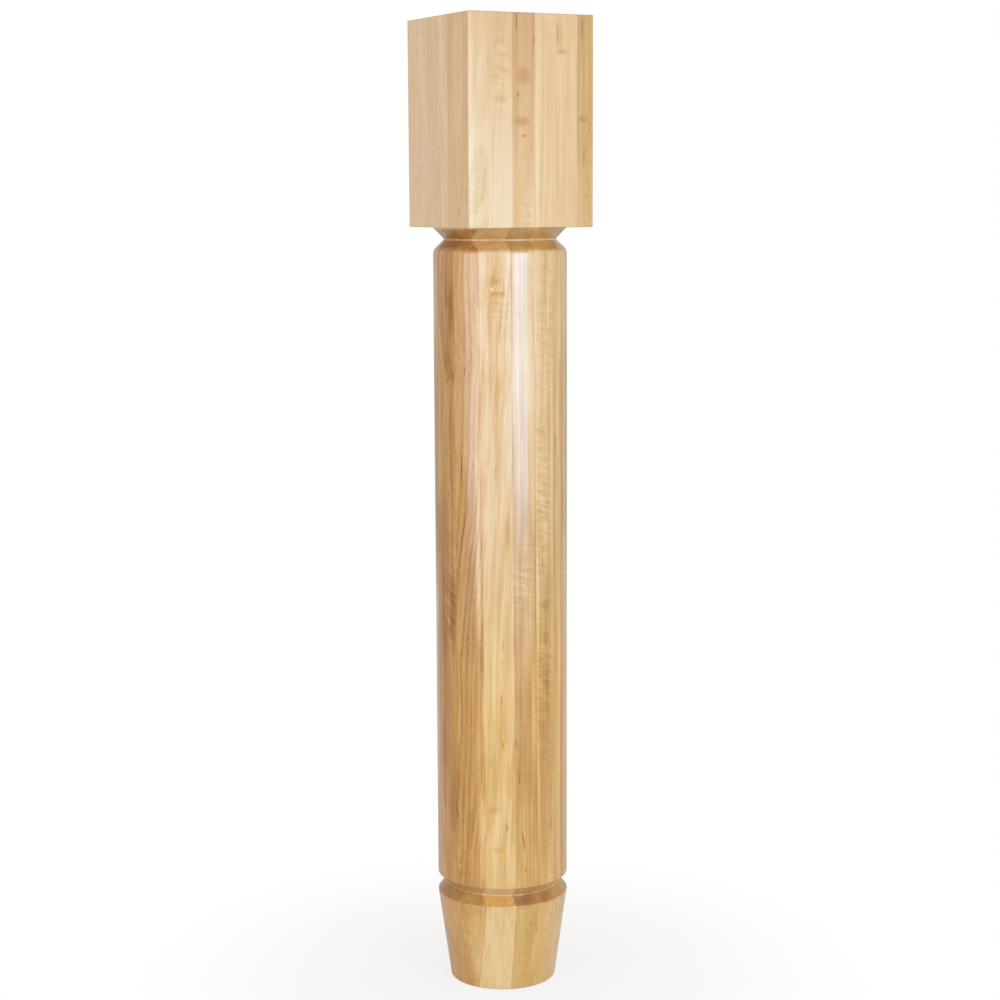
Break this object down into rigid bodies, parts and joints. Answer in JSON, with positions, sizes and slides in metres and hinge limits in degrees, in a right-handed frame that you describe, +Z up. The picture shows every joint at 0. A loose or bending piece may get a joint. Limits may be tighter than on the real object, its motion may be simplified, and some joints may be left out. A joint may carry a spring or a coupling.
{
  "type": "kitchen island post",
  "caption": "Wooden kitchen island post with a square top block, a round shaft between V grooves and a tapered round foot.",
  "frame": {"origin": "centre of the foot's underside, on the floor", "axes": "+Z up the post to the countertop; the block's four faces look along +X, -X, +Y and -Y"},
  "size_m": [0.127, 0.127, 0.9144],
  "materials": {
    "clear_finished_maple": "clear semi-gloss lacquer over glued-up hard maple"
  },
  "bodies": {
    "root": {"island_post": "clear_finished_maple"}
  },
  "joints": []
}
